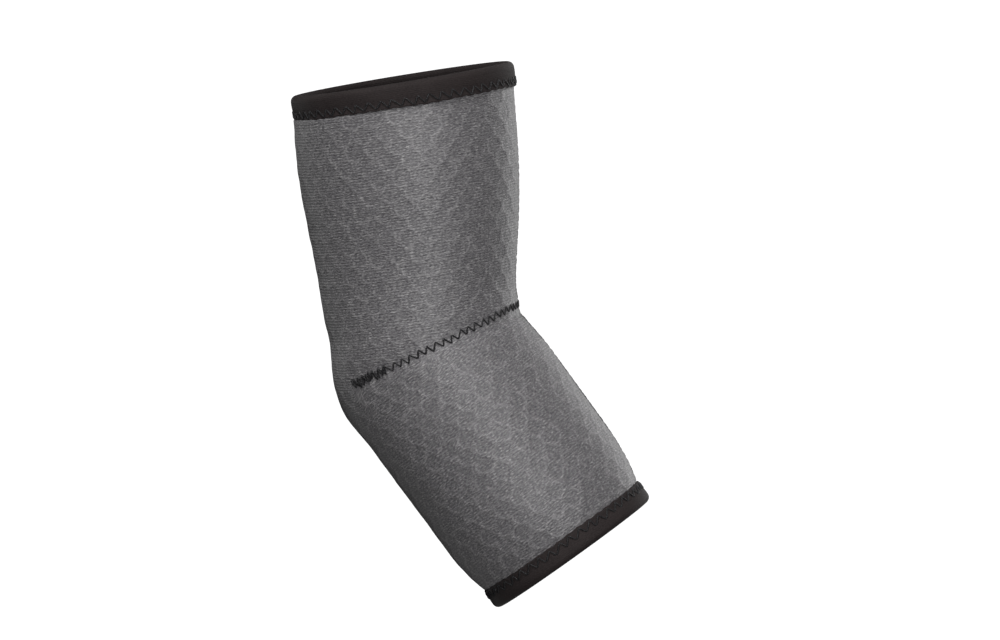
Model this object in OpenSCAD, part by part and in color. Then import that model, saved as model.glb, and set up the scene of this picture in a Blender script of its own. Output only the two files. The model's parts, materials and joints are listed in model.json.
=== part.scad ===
// Pull-on elbow support sleeve, sewn to a bent shape from one laminated sheet.
//
// Frame: the origin is on the upper arm's axis, just inside the upper opening,
// where the binding grips the arm. The upper arm runs along Z, the forearm leans
// towards +X, the crook of the elbow faces +X and the tip of the elbow faces -X.
// The elbow turns about Y.

/* [Sleeve] */
// Length from the upper-arm opening to the centre of the elbow
upper_length = 116; // [100:1:130]
// Length from the centre of the elbow to the forearm opening
forearm_length = 110; // [100:1:125]
// Outer radius at the upper-arm opening
upper_radius = 48; // [45:0.5:52]
// Outer radius just above the elbow
elbow_radius = 42.5; // [40:0.5:45]
// Outer radius where the forearm is thickest
forearm_radius = 44; // [41:0.5:46]
// Outer radius at the forearm opening
forearm_end_radius = 40.5; // [37:0.5:42]

/* [Elbow] */
// Bend that the sleeve is sewn to, measured from straight
sewn_bend = 31; // [20:1:32]
// Radius of the sleeve's centre line through the bend
bend_radius = 53.5; // [52:0.5:60]
// How far the tip of the elbow stands out of the plain bend
elbow_tip_bulge = 1.8; // [0:0.1:3]
// Further bend that the crook makes room for
flexion_room = 87; // [60:1:88]
// Straightening that the elbow side makes room for
extension_room = 33; // [30:1:40]

/* [Laminate] */
// Thickness of the embossed face fabric
face_thickness = 0.5; // [0.4:0.1:0.8]
// Thickness of the foam core
foam_thickness = 3; // [2:0.5:4]
// Thickness of the lining
lining_thickness = 0.5; // [0.4:0.1:0.8]

/* [Bindings] */
// Height of the folded tape round the upper-arm opening
upper_binding_height = 10.5; // [9:0.5:13]
// Height of the folded tape round the forearm opening
forearm_binding_height = 9.5; // [9:0.5:13]
// Thickness of the tape
tape_thickness = 1; // [0.8:0.1:1.2]
// How far the folded tape stands out of the sleeve on each side
tape_proud = 0.5; // [0.4:0.1:0.8]

/* [Stitching] */
// Width of the thread
thread_width = 0.7; // [0.5:0.1:0.9]
// Height of the thread above the cloth
thread_height = 0.5; // [0.3:0.1:0.7]
// Length of one zigzag on a binding
hem_stitch_length = 5.3; // [4.5:0.1:6]
// Length of one zigzag on a seam
seam_stitch_length = 4; // [3.5:0.1:5]
// Width of the zigzag
stitch_width = 3.8; // [3:0.1:4.5]
// Turn of the dart away from the plane that halves the bend
dart_tilt = 4.6; // [0:0.1:6]
// Where the darts end, as an angle round the sleeve from the crook
dart_end_angle = 133; // [130:1:155]
// Where the front seam lies, as an angle round the sleeve from the crook
front_seam_angle = 12; // [10:1:20]
// Length of the dense stitching that locks the end of a dart
backtack_length = 20; // [10:1:24]

/* [Hidden] */

$fn = 96;

// Facets of the laminate: round the sleeve, and along each of its three zones
facets_round = 40;
facets_end_zone = 4;
facets_elbow_zone = 12;

half_bend = sewn_bend / 2;
// The bend's arc and its two tangents, each from the middle of the bend
bend_arc = bend_radius * half_bend * PI / 180;
bend_tangent = bend_radius * tan(half_bend);
// Depth of the origin below the upper edge, where the binding grips the arm
origin_depth = 6;
elbow_centre = [0, 0, origin_depth - upper_length];

// Positions along the centre line are counted from the middle of the bend,
// upwards. These are the two ends of the sleeve.
upper_end = upper_length - bend_tangent + bend_arc;
forearm_end = -(forearm_length - bend_tangent + bend_arc);

laminate_thickness = face_thickness + foam_thickness + lining_thickness;
// Depths of the four faces of the layers, from the outer face inwards
layer_depths = [0, face_thickness, face_thickness + foam_thickness, laminate_thickness];
fold_radius = laminate_thickness / 2 + tape_proud;

// Space between the zones that turn against each other
zone_gap = 0.3;
// Space along the centre line that is left beside the hinge
hinge_room = 2.5;
// Inside a binding the laminate is squeezed, to fit the fold with this much to spare on
// each face. It thins over squeeze_length before it enters.
hem_gap = 0.2;
hem_squeeze = 2 * (fold_radius - tape_thickness - hem_gap) / laminate_thickness;
squeeze_length = 2;
// Space between the laminate and the end of a binding's legs
squeeze_margin = 0.4;
// Threads lie this far clear of the outer and the inner face
thread_lift = 0.1;
inner_thread_lift = 0.2;

// ---- Shape of the sleeve ----

// Where the sleeve changes its width, counted from the middle of the bend: it widens up
// the arm, widens onto the forearm, and narrows ever faster to the forearm opening
upper_taper_start = 18;
upper_taper_length = 72;
forearm_swell_length = 30;
forearm_taper_start = 60;
forearm_taper_length = 38;
// The tip of the elbow pushes the sleeve out over this length
bulge_length = 15;

function share(x) = min(max(x, 0), 1);
function smooth(x) = let (u = share(x)) u * u * (3 - 2 * u);
function quickening(x) = let (u = share(x)) u * u * u;

// Outer radius at a position along the centre line
function plain_radius(along) =
    along > 0
        ? elbow_radius
            + (upper_radius - elbow_radius) * smooth((along - upper_taper_start) / upper_taper_length)
        : elbow_radius
            + (forearm_radius - elbow_radius) * smooth(-along / forearm_swell_length)
            - (forearm_radius - forearm_end_radius)
                * quickening((-along - forearm_taper_start) / forearm_taper_length);

function outer_radius(along, angle) =
    plain_radius(along)
        + elbow_tip_bulge * exp(-pow(along / bulge_length, 2)) * pow(max(-cos(angle), 0), 2);

// Tilt of the cross-section: none on the upper arm, the whole bend on the forearm
function tilt(along) = half_bend * (1 - min(max(along / bend_arc, -1), 1));
function front(along) = [cos(tilt(along)), 0, sin(tilt(along))];
function upward(along) = [-sin(tilt(along)), 0, cos(tilt(along))];

bend_centre = elbow_centre + bend_radius / cos(half_bend) * [cos(half_bend), 0, sin(half_bend)];

function centre_line(along) =
    let (in_bend = min(max(along, -bend_arc), bend_arc))
    bend_centre - bend_radius * front(in_bend) + (along - in_bend) * upward(along);

function outward(along, angle) = cos(angle) * front(along) + [0, sin(angle), 0];

// A point of the sleeve, at a depth below its outer face
function sleeve_point(along, angle, depth) =
    centre_line(along) + (outer_radius(along, angle) - depth) * outward(along, angle);

// ---- Zones: two end zones that keep their shape, and the elbow that deforms ----

// How far the elbow zone reaches for each millimetre away from the hinge. The tip's side
// has a little slack, so that it keeps some length at any bend.
tip_slack = 0.1;
crook_slope = tan(half_bend + flexion_room / 2);
tip_slope = tan(extension_room / 2 - half_bend) + tip_slack;

// Half-length of the elbow zone: long at the crook, short at the tip
function elbow_reach(angle) =
    let (x = elbow_radius * cos(angle))
    hinge_room + (x > 0 ? x * crook_slope : -x * tip_slope);

// Depth of a layer's face where the laminate is squeezed by a binding
function squeezed(depth) =
    laminate_thickness / 2 + (depth - laminate_thickness / 2) * hem_squeeze;

// Rings of an end zone, from the elbow to the opening. side is 1 for the upper arm and
// -1 for the forearm.
function end_position(side) = side > 0 ? upper_end : -forearm_end;
function binding_height(side) = side > 0 ? upper_binding_height : forearm_binding_height;
function hem_start(side) =
    end_position(side) - binding_height(side) - squeeze_margin - squeeze_length;

function end_zone_ring(side, step, angle) =
    let (begin = elbow_reach(angle), stop = hem_start(side))
    side * (
        step <= facets_end_zone ? begin + (stop - begin) * step / facets_end_zone
        : step == facets_end_zone + 1 ? stop + squeeze_length
        : end_position(side) - fold_radius
    );

function end_zone_points(side, depth) = [
    for (step = [0 : facets_end_zone + 2])
        for (i = [0 : facets_round - 1])
            let (angle = 360 * i / facets_round)
            sleeve_point(
                end_zone_ring(side, step, angle),
                angle,
                step > facets_end_zone ? squeezed(depth) : depth
            )
];

// Rings of the elbow zone, from the forearm to the upper arm. They crowd together in the
// middle of the bend by this power.
ring_crowding = 1.3;

function elbow_ring(step, angle) =
    let (
        u = 2 * step / facets_elbow_zone - 1,
        reach = elbow_reach(angle) - (u < 0 ? zone_gap : 0)
    )
    sign(u) * reach * pow(abs(u), ring_crowding);

function elbow_zone_points(depth) = [
    for (step = [0 : facets_elbow_zone])
        for (i = [0 : facets_round - 1])
            let (angle = 360 * i / facets_round)
            sleeve_point(elbow_ring(step, angle), angle, depth)
];

// ---- Solids ----

// Closed shell between two matching grids of rings. rising is true where the rings
// go up the sleeve.
module shell(outer, inner, rising) {
    n = facets_round;
    rings = len(outer) / n;
    base = len(outer);
    wall = [
        for (r = [0 : rings - 2])
            for (i = [0 : n - 1])
                let (j = (i + 1) % n, a = r * n + i, b = r * n + j, c = b + n, d = a + n)
                for (t = [[a, c, b], [a, d, c]]) t
    ];
    inner_wall = [for (t = wall) [base + t[0], base + t[2], base + t[1]]];
    rims = [
        for (r = [0, rings - 1])
            for (i = [0 : n - 1])
                let (j = (i + 1) % n, a = r * n + i, b = r * n + j)
                for (t = [[a, b, base + b], [a, base + b, base + a]])
                    r == 0 ? t : [t[0], t[2], t[1]]
    ];
    faces = concat(wall, inner_wall, rims);
    polyhedron(
        points = concat(outer, inner),
        faces = rising ? faces : [for (t = faces) [t[0], t[2], t[1]]],
        convexity = 6
    );
}

// One layer of the laminate: 0 is the face fabric, 1 the foam core, 2 the lining
module end_zone_layer(side, layer) {
    shell(
        end_zone_points(side, layer_depths[layer]),
        end_zone_points(side, layer_depths[layer + 1]),
        side > 0
    );
}

module elbow_zone_layer(layer) {
    shell(elbow_zone_points(layer_depths[layer]), elbow_zone_points(layer_depths[layer + 1]), true);
}

// Section of a folded tape: two legs and a round fold that peaks at the origin's height
module tape_section(radius, height) {
    middle = radius - laminate_thickness / 2;
    leg_end = tape_thickness / 2 - height;
    inside_radius = fold_radius - tape_thickness;
    translate([middle, -fold_radius]) {
        difference() {
            circle(fold_radius);
            circle(inside_radius);
            translate([-2 * fold_radius, -2 * fold_radius])
                square([4 * fold_radius, 2 * fold_radius]);
        }
    }
    for (side = [-1, 1]) {
        leg_middle = middle + side * (fold_radius - tape_thickness / 2);
        translate([leg_middle - tape_thickness / 2, leg_end])
            square([tape_thickness, -fold_radius - leg_end]);
        translate([leg_middle, leg_end])
            circle(tape_thickness / 2);
    }
}

module folded_tape(radius, height) {
    rotate_extrude()
        tape_section(radius, height);
}

// These two move a thing that is drawn with its edge at the origin to an opening
module at_upper_opening() {
    translate([0, 0, origin_depth])
        children();
}

module at_forearm_opening() {
    translate(elbow_centre)
        rotate([0, -sewn_bend, 0])
            translate([0, 0, -forearm_length])
                mirror([0, 0, 1])
                    children();
}

// Flat thread swept along points, with the cloth's outward direction at each point
module thread(points, outwards, closed = false) {
    count = len(points);
    function before(i) = closed ? points[(i + count - 1) % count] : points[max(i - 1, 0)];
    function after(i) = closed ? points[(i + 1) % count] : points[min(i + 1, count - 1)];
    function unit(v) = v / norm(v);
    corners = [
        for (i = [0 : count - 1])
            let (
                up = outwards[i],
                side = unit(cross(up, unit(after(i) - before(i)))) * thread_width / 2
            )
            for (c = [points[i] - side, points[i] + side,
                      points[i] + side + up * thread_height, points[i] - side + up * thread_height])
                c
    ];
    spans = closed ? count : count - 1;
    sides = [
        for (i = [0 : spans - 1])
            let (j = (i + 1) % count)
            for (k = [0 : 3])
                let (m = (k + 1) % 4)
                for (t = [[4 * i + k, 4 * j + m, 4 * i + m], [4 * i + k, 4 * j + k, 4 * j + m]]) t
    ];
    last = 4 * (count - 1);
    ends = closed ? [] : [[0, 1, 2], [0, 2, 3], [last, last + 2, last + 1], [last, last + 3, last + 2]];
    polyhedron(points = corners, faces = concat(sides, ends), convexity = 6);
}

// Zigzag round a binding, near the end of its outer leg
module hem_zigzag(radius, height) {
    stitches = round(2 * PI * radius / hem_stitch_length);
    face = radius + tape_proud + thread_lift;
    middle = -(height - stitch_width / 2 - thread_width);
    turns = 2 * stitches;
    angles = [for (i = [0 : turns - 1]) 360 * i / turns];
    thread(
        [
            for (i = [0 : turns - 1])
                [face * cos(angles[i]), face * sin(angles[i]),
                 middle + (i % 2 == 0 ? 1 : -1) * (stitch_width - thread_width) / 2]
        ],
        [for (a = angles) [cos(a), sin(a), 0]],
        closed = true
    );
}

// A seam's line is a list of [along, angle]. Its zigzag alternates across that line on the
// outer face, or on the inner face for the bobbin thread.
module seam_zigzag(line, across, inner = false, lift = thread_lift, phase = 0) {
    depth = inner ? laminate_thickness + inner_thread_lift : -lift;
    swing = (stitch_width - thread_width) / 2;
    places = [
        for (i = [0 : len(line) - 1])
            line[i] + ((i + phase) % 2 == 0 ? 1 : -1) * swing * across
    ];
    thread(
        [for (p = places) sleeve_point(p[0], p[1], depth)],
        [for (p = places) (inner ? -1 : 1) * outward(p[0], p[1])]
    );
}

// Position of the dart's line at an angle round the sleeve. It lies in a plane through the
// elbow's centre, turned by dart_tilt from the plane that halves the bend.
function dart_position(angle) =
    let (
        x = elbow_radius * cos(angle),
        reach = bend_radius - x,
        turn = bend_radius / cos(half_bend) * sin(dart_tilt) / reach,
        within = turn < 1 ? asin(turn) - dart_tilt : 90
    )
    within < half_bend
        ? within / half_bend * bend_arc
        : x * tan(half_bend + dart_tilt) - bend_tangent + bend_arc;

// Angle round the sleeve that one millimetre takes up at the elbow
degrees_per_mm = 180 / (PI * elbow_radius);
// The darts start this far beside the front seam, clear of its zigzag
dart_start_gap = 4;

// side is -1 for the near dart and 1 for the far one
function dart_line(side, from_angle, to_angle) =
    let (
        span = to_angle - from_angle,
        turns = 2 * round(abs(span) / degrees_per_mm / seam_stitch_length)
    )
    [
        for (i = [0 : turns])
            let (angle = from_angle + span * i / turns)
            [dart_position(angle), side * angle]
    ];

function dart_from(side) = side * front_seam_angle + dart_start_gap * degrees_per_mm;

module dart_thread(side, inner) {
    seam_zigzag(dart_line(side, dart_from(side), dart_end_angle), [1, 0], inner);
}

module dart_backtack(side) {
    seam_zigzag(
        dart_line(side, dart_end_angle - backtack_length * degrees_per_mm, dart_end_angle),
        [1, 0],
        lift = thread_height + 2 * thread_lift,
        phase = 1
    );
}

function front_seam_line(from_position, to_position) =
    let (turns = 2 * round(abs(to_position - from_position) / seam_stitch_length))
    [
        for (i = [0 : turns])
            [from_position + (to_position - from_position) * i / turns, front_seam_angle]
    ];

// The front seam is cut where the zones meet
seam_cut = elbow_reach(front_seam_angle);
// Space between the threads of two zones
seam_cut_gap = 0.5;

module front_seam_thread(from_position, to_position, inner) {
    seam_zigzag(front_seam_line(from_position, to_position), [0, degrees_per_mm], inner);
}

module upper_front_seam(inner) {
    front_seam_thread(seam_cut + seam_cut_gap, hem_start(1), inner);
}

module elbow_front_seam(inner) {
    front_seam_thread(-seam_cut + seam_cut_gap, seam_cut - seam_cut_gap, inner);
}

module forearm_front_seam(inner) {
    front_seam_thread(-hem_start(-1), -seam_cut - seam_cut_gap, inner);
}

// ---- Nodes ----

FACE_GREY = [0.44, 0.43, 0.44];
FOAM_BLACK = [0.13, 0.13, 0.14];
LINING_GREY = [0.22, 0.22, 0.24];
TAPE_DARK = [0.2, 0.18, 0.18];
THREAD_BLACK = [0.07, 0.07, 0.08];

module upper_face_fabric() { color(FACE_GREY) end_zone_layer(1, 0); }
module upper_foam_core() { color(FOAM_BLACK) end_zone_layer(1, 1); }
module upper_lining() { color(LINING_GREY) end_zone_layer(1, 2); }

module elbow_face_fabric() { color(FACE_GREY) elbow_zone_layer(0); }
module elbow_foam_core() { color(FOAM_BLACK) elbow_zone_layer(1); }
module elbow_lining() { color(LINING_GREY) elbow_zone_layer(2); }

module forearm_face_fabric() { color(FACE_GREY) end_zone_layer(-1, 0); }
module forearm_foam_core() { color(FOAM_BLACK) end_zone_layer(-1, 1); }
module forearm_lining() { color(LINING_GREY) end_zone_layer(-1, 2); }

module upper_binding() {
    color(TAPE_DARK)
        at_upper_opening()
            folded_tape(upper_radius, upper_binding_height);
}

module forearm_binding() {
    color(TAPE_DARK)
        at_forearm_opening()
            folded_tape(forearm_end_radius, forearm_binding_height);
}

module upper_binding_thread() {
    color(THREAD_BLACK)
        at_upper_opening()
            hem_zigzag(upper_radius, upper_binding_height);
}

module forearm_binding_thread() {
    color(THREAD_BLACK)
        at_forearm_opening()
            hem_zigzag(forearm_end_radius, forearm_binding_height);
}

module near_dart_needle_thread() { color(THREAD_BLACK) dart_thread(-1, false); }
module near_dart_bobbin_thread() { color(THREAD_BLACK) dart_thread(-1, true); }
module near_dart_backtack() { color(THREAD_BLACK) dart_backtack(-1); }

module far_dart_needle_thread() { color(THREAD_BLACK) dart_thread(1, false); }
module far_dart_bobbin_thread() { color(THREAD_BLACK) dart_thread(1, true); }
module far_dart_backtack() { color(THREAD_BLACK) dart_backtack(1); }

module upper_front_seam_needle_thread() { color(THREAD_BLACK) upper_front_seam(false); }
module upper_front_seam_bobbin_thread() { color(THREAD_BLACK) upper_front_seam(true); }
module elbow_front_seam_needle_thread() { color(THREAD_BLACK) elbow_front_seam(false); }
module elbow_front_seam_bobbin_thread() { color(THREAD_BLACK) elbow_front_seam(true); }
module forearm_front_seam_needle_thread() { color(THREAD_BLACK) forearm_front_seam(false); }
module forearm_front_seam_bobbin_thread() { color(THREAD_BLACK) forearm_front_seam(true); }

upper_face_fabric();
upper_foam_core();
upper_lining();
elbow_face_fabric();
elbow_foam_core();
elbow_lining();
forearm_face_fabric();
forearm_foam_core();
forearm_lining();
upper_binding();
forearm_binding();
upper_binding_thread();
forearm_binding_thread();
near_dart_needle_thread();
near_dart_bobbin_thread();
near_dart_backtack();
far_dart_needle_thread();
far_dart_bobbin_thread();
far_dart_backtack();
upper_front_seam_needle_thread();
upper_front_seam_bobbin_thread();
elbow_front_seam_needle_thread();
elbow_front_seam_bobbin_thread();
forearm_front_seam_needle_thread();
forearm_front_seam_bobbin_thread();
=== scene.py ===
"""Looks of a pull-on elbow support sleeve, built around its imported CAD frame.

Shapes are worked out in millimetres, in the frame's own axes, and turned into metres when a
mesh is made. A place on the sleeve has two coordinates. "share" runs along it: 0 on the line
of the darts, 1 at the upper opening and -1 at the forearm opening. "angle" runs round it: 0 at
the crook of the elbow, a half turn at the tip, and the near side, at -Y, is negative.
"""
import json
import math

import bpy
import numpy as np
from mathutils import Matrix, Vector


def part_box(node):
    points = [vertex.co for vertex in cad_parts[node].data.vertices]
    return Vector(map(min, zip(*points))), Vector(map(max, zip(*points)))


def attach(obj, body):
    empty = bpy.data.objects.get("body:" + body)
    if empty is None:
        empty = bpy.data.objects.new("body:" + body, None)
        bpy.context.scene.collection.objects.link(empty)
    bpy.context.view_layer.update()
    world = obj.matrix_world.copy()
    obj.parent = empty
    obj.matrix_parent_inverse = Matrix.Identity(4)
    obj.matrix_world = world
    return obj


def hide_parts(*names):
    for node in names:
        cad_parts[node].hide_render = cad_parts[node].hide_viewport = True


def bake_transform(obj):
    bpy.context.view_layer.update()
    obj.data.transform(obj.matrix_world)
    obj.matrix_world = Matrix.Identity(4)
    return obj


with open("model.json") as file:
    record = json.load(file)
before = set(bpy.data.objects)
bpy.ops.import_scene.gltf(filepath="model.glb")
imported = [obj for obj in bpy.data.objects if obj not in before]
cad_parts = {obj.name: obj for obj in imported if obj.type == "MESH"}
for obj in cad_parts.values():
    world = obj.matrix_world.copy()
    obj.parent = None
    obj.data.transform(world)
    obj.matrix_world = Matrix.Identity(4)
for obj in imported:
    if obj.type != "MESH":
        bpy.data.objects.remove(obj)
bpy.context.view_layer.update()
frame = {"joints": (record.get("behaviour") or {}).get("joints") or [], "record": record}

MM = 0.001
TURN = 2 * math.pi

# ---- The sleeve's frame ----


def in_mm(vector):
    return np.array(vector, float) / MM


def half_depth(node):
    """Half of a CAD node's extent along Y, which is its outer radius."""
    low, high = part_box(node)
    return (high.y - low.y) / 2 / MM


mounts = {mount["name"]: mount for mount in frame["record"]["mounts"]}
upper_mount = mounts["upper_arm_opening"]
forearm_mount = mounts["forearm_opening"]
HINGE = in_mm(frame["joints"][0]["pos_m"])
UPPER_AXIS = np.array(upper_mount["axis"], float)
FOREARM_AXIS = np.array(forearm_mount["axis"], float)
BEND = math.pi - math.acos(float(UPPER_AXIS @ FOREARM_AXIS))
HALF = BEND / 2

# The bindings grip the arm this far below their edges
GRIP_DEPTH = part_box("upper_binding")[1].z / MM - in_mm(upper_mount["pos_m"])[2]
UPPER_LENGTH = float((in_mm(upper_mount["pos_m"]) - HINGE) @ UPPER_AXIS) + GRIP_DEPTH
FOREARM_LENGTH = float((in_mm(forearm_mount["pos_m"]) - HINGE) @ FOREARM_AXIS) + GRIP_DEPTH

# The laminate: face fabric, foam core and lining
FACE = 0.5
FOAM = 3.0
LINING = 0.5
LAMINATE = FACE + FOAM + LINING
# The folded tapes stand out of it on both sides
TAPE_PROUD = 0.5
TAPE = 1.0

UPPER_RADIUS = upper_mount["dims"]["r_mm"] + LAMINATE + TAPE_PROUD
FOREARM_END_RADIUS = forearm_mount["dims"]["r_mm"] + LAMINATE + TAPE_PROUD
ELBOW_RADIUS = half_depth("elbow_face_fabric")
FOREARM_RADIUS = half_depth("forearm_face_fabric")
UPPER_BINDING_HEIGHT = 10.5
FOREARM_BINDING_HEIGHT = 9.5

# The upper opening is pulled up on the crook's side by this angle
UPPER_OPENING_TILT = math.radians(4.2)

# ---- Shape of the sleeve ----

# Radius of the bend along the sleeve: a crease at the crook, a round elbow at the tip
CREASE_RADIUS = 8
TIP_RADIUS = 50
# On the tip's side the elbow pushes the cloth out just below the bend, and the cloth is
# drawn in just above it: (height, place and length along the sleeve)
TIP_SHAPE = ((2.9, -17, 12), (0.4, -44, 20), (-2.1, 14, 11), (0.5, 48, 24))
# On the crook's side the cloth is drawn in over the crease
CROOK_SHAPE = ((-1.4, 5, 22),)
# Where the sleeve changes its width, counted from the elbow
UPPER_TAPER_START = 18
UPPER_TAPER_LENGTH = 72
FOREARM_SWELL_LENGTH = 30
FOREARM_TAPER_START = 66
FOREARM_TAPER_LENGTH = 34

# The darts lie in one plane through the elbow, turned from the plane that halves the bend
DART_TILT = math.radians(5.2)
# They lie this far below the elbow's middle
DART_DROP = 0.8
DART_END = math.radians(133)
FRONT_SEAM = math.radians(12)

Y = np.array([0.0, 1.0, 0.0])


def unit_share(x):
    return np.clip(x, 0, 1)


def smooth(x):
    u = unit_share(x)
    return u * u * (3 - 2 * u)


def bell(x):
    return np.exp(-x * x)


def front(tilt):
    return np.stack([np.cos(tilt), np.zeros_like(tilt), np.sin(tilt)], -1)


def upward(tilt):
    return np.stack([-np.sin(tilt), np.zeros_like(tilt), np.cos(tilt)], -1)


def bumps(shapes, position):
    """Sum of smooth bumps and hollows, each (height, place, length)."""
    return sum(height * bell((position - place) / length) for height, place, length in shapes)


def plain_radius(along):
    """Outer radius at a distance from the elbow, positive on the upper arm."""
    upper = (UPPER_RADIUS - ELBOW_RADIUS) * smooth((along - UPPER_TAPER_START) / UPPER_TAPER_LENGTH)
    swell = (FOREARM_RADIUS - ELBOW_RADIUS) * smooth(-along / FOREARM_SWELL_LENGTH)
    narrowing = unit_share((-along - FOREARM_TAPER_START) / FOREARM_TAPER_LENGTH) ** 3
    return ELBOW_RADIUS + upper + swell - (FOREARM_RADIUS - FOREARM_END_RADIUS) * narrowing


class Meridian:
    """The line along the sleeve at each of the given angles: two straight lines and the arc
    between them. A position on it is in millimetres from the arc's middle, upwards."""

    def __init__(self, angle):
        self.x = ELBOW_RADIUS * np.cos(angle)
        tipward = (1 - np.cos(angle)) / 2
        self.radius = CREASE_RADIUS + (TIP_RADIUS - CREASE_RADIUS) * tipward
        self.arc = self.radius * HALF
        # Distance of the arc's ends from the elbow, along the arm
        self.arc_end = (self.x + self.radius) * math.tan(HALF)
        self.top = self.arc + UPPER_LENGTH - self.arc_end + self.x * math.tan(UPPER_OPENING_TILT)
        self.bottom = self.arc_end - self.arc - FOREARM_LENGTH
        self.dart = self.dart_position()

    def dart_position(self):
        turn = (self.x + self.radius) * math.sin(DART_TILT) / (self.radius * math.cos(HALF))
        within = np.arcsin(np.minimum(turn, 1)) - DART_TILT
        straight = self.x * math.tan(HALF + DART_TILT) - self.arc_end + self.arc
        return np.where(within < HALF, within * self.radius, straight) - DART_DROP

    def position(self, share):
        above = share * (self.top - self.dart)
        below = share * (self.dart - self.bottom)
        return self.dart + np.where(share > 0, above, below)

    def bent(self, position):
        """How far round the arc, from -1 on the forearm to 1 on the upper arm."""
        return np.clip(position / self.arc, -1, 1)

    def along(self, position):
        """Distance from the elbow along the arm."""
        return position + (self.arc_end - self.arc) * self.bent(position)

    def point(self, position):
        bent = self.bent(position)
        tilt = HALF * (1 - bent)
        centre = front(np.array(HALF)) * ((self.x + self.radius) / math.cos(HALF))[..., None]
        straight = (position - bent * self.arc)[..., None] * upward(tilt)
        return HINGE + centre - self.radius[..., None] * front(tilt) + straight, tilt


TIP = Meridian(np.array(math.pi))
# The sleeve's longest line, over the elbow's tip
TIP_LENGTH = float(TIP.top - TIP.bottom)


def outward(tilt, angle):
    return np.cos(angle)[..., None] * front(tilt) + np.sin(angle)[..., None] * Y


def plain_skin(share, angle, height=0.0):
    """Points of the sleeve's plain outer face, moved outwards by height."""
    share, angle = np.broadcast_arrays(np.asarray(share, float), np.asarray(angle, float))
    line = Meridian(angle)
    position = line.position(share)
    along = line.along(position)
    point, tilt = line.point(position)
    tip = bumps(TIP_SHAPE, position) * np.maximum(-np.cos(angle), 0) ** 2
    crook = bumps(CROOK_SHAPE, position) * np.maximum(np.cos(angle), 0) ** 2
    radial = plain_radius(along) - ELBOW_RADIUS + tip + crook + height
    # The line already stands at the elbow's radius along X, so only Y is still missing
    sideways = ELBOW_RADIUS * np.sin(angle)[..., None] * Y
    return point + sideways + radial[..., None] * outward(tilt, angle)


def skin(share, angle, height=0.0):
    """Points of the sleeve's outer face with its seams and folds, moved outwards by height."""
    return plain_skin(share, angle, height + ease(share, angle))


# ---- Gentle unevenness, seams and hems ----

# Slow waves over the sleeve: height, turns round, waves along, phase
WAVES = (
    (0.12, 2, 1.3, 0.4),
    (0.11, 3, -2.1, 1.9),
    (0.09, 5, 2.7, 3.3),
    (0.07, 7, -3.9, 5.1),
)
# The waves fade out over this share of the sleeve before each opening
HEM_FADE = 0.16

# A seam lies in a wide valley with a narrow groove down its middle: depths and half-widths
DART_VALLEY = 0.5
DART_VALLEY_WIDTH = 5
DART_GROOVE = 0.4
FRONT_VALLEY = 0.3
FRONT_VALLEY_WIDTH = 4
FRONT_GROOVE = 0.35
GROOVE_WIDTH = 1.1
# In the crook the cloth bunches instead, so the darts' valley turns into a ridge there
CROOK_RIDGE = 1.2
# Past its end a dart fades out over this angle
DART_FADE = math.radians(10)


def waves(share, angle):
    total = 0
    for height, turns, along, phase in WAVES:
        total = total + height * np.sin(turns * angle + math.pi * along * share + phase)
    return total * smooth((1 - np.abs(share)) / HEM_FADE)


def dart_strength(angle):
    """1 where a dart is sewn, fading out past its end at the tip of the elbow."""
    return 1 - smooth((np.abs(wrapped(angle)) - DART_END) / DART_FADE + 0.5)


def wrapped(angle):
    """The same angle, between half a turn back and half a turn on."""
    return (angle + math.pi) % TURN - math.pi


def from_dart(share, angle):
    """Millimetres from the darts' line, along the sleeve."""
    line = Meridian(angle)
    return line.position(share) - line.dart


def from_front_seam(angle):
    """Millimetres from the front seam, round the sleeve."""
    return wrapped(angle - FRONT_SEAM) * ELBOW_RADIUS


def ease(share, angle):
    """How the cloth gives way at its seams, and the slow waves."""
    across = from_dart(share, angle)
    crook = unit_share(np.cos(angle)) ** 3
    valley = (DART_VALLEY - CROOK_RIDGE * crook) * bell(across / DART_VALLEY_WIDTH)
    dart = (valley + DART_GROOVE * bell(across / GROOVE_WIDTH)) * dart_strength(angle)
    beside = from_front_seam(angle)
    front_valley = FRONT_VALLEY * bell(beside / FRONT_VALLEY_WIDTH)
    front_seam = front_valley + FRONT_GROOVE * bell(beside / GROOVE_WIDTH)
    slack = between(CLOTH_GIVE, *give_place(share, angle))
    return slack + waves(share, angle) - dart - front_seam


# ---- Meshes ----


def mesh_piece(name, points, faces, material=None, uv=None):
    """A smooth-shaded object from points in millimetres and an array or a list of faces. uv
    holds one pair for each corner of each face."""
    mesh = bpy.data.meshes.new(name)
    faces = faces.tolist() if isinstance(faces, np.ndarray) else faces
    mesh.from_pydata((points * MM).tolist(), [], faces)
    if uv is not None:
        layer = mesh.uv_layers.new(name="cloth")
        layer.data.foreach_set("uv", np.asarray(uv, np.float32).ravel())
    mesh.shade_smooth()
    if material is not None:
        mesh.materials.append(material)
    piece = bpy.data.objects.new(name, mesh)
    bpy.context.scene.collection.objects.link(piece)
    return piece


def strip_faces(rows, columns, closed_along=False):
    """Quads of a grid of rows by columns that closes round its columns."""
    r = np.arange(rows if closed_along else rows - 1)[:, None]
    c = np.arange(columns)[None, :]
    next_r = (r + 1) % rows
    next_c = (c + 1) % columns
    corners = (r * columns + c, r * columns + next_c, next_r * columns + next_c, next_r * columns + c)
    return np.stack(corners, -1).reshape(-1, 4)


# Beside the darts' line rows are this much closer together, over this share of the sleeve
ROW_CROWDING = 0.45
CROWDED_SHARE = 0.07


def row_shares(steps):
    """Shares from -1 to 1 with a row on the darts' line, closer together beside it."""
    weight = 1 - ROW_CROWDING * np.exp(-np.arange(steps) / steps / CROWDED_SHARE)
    half = np.concatenate([[0], np.cumsum(weight)]) / weight.sum()
    return np.concatenate([-half[:0:-1], half])


# ---- How the cloth gives way between its seams ----

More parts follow.
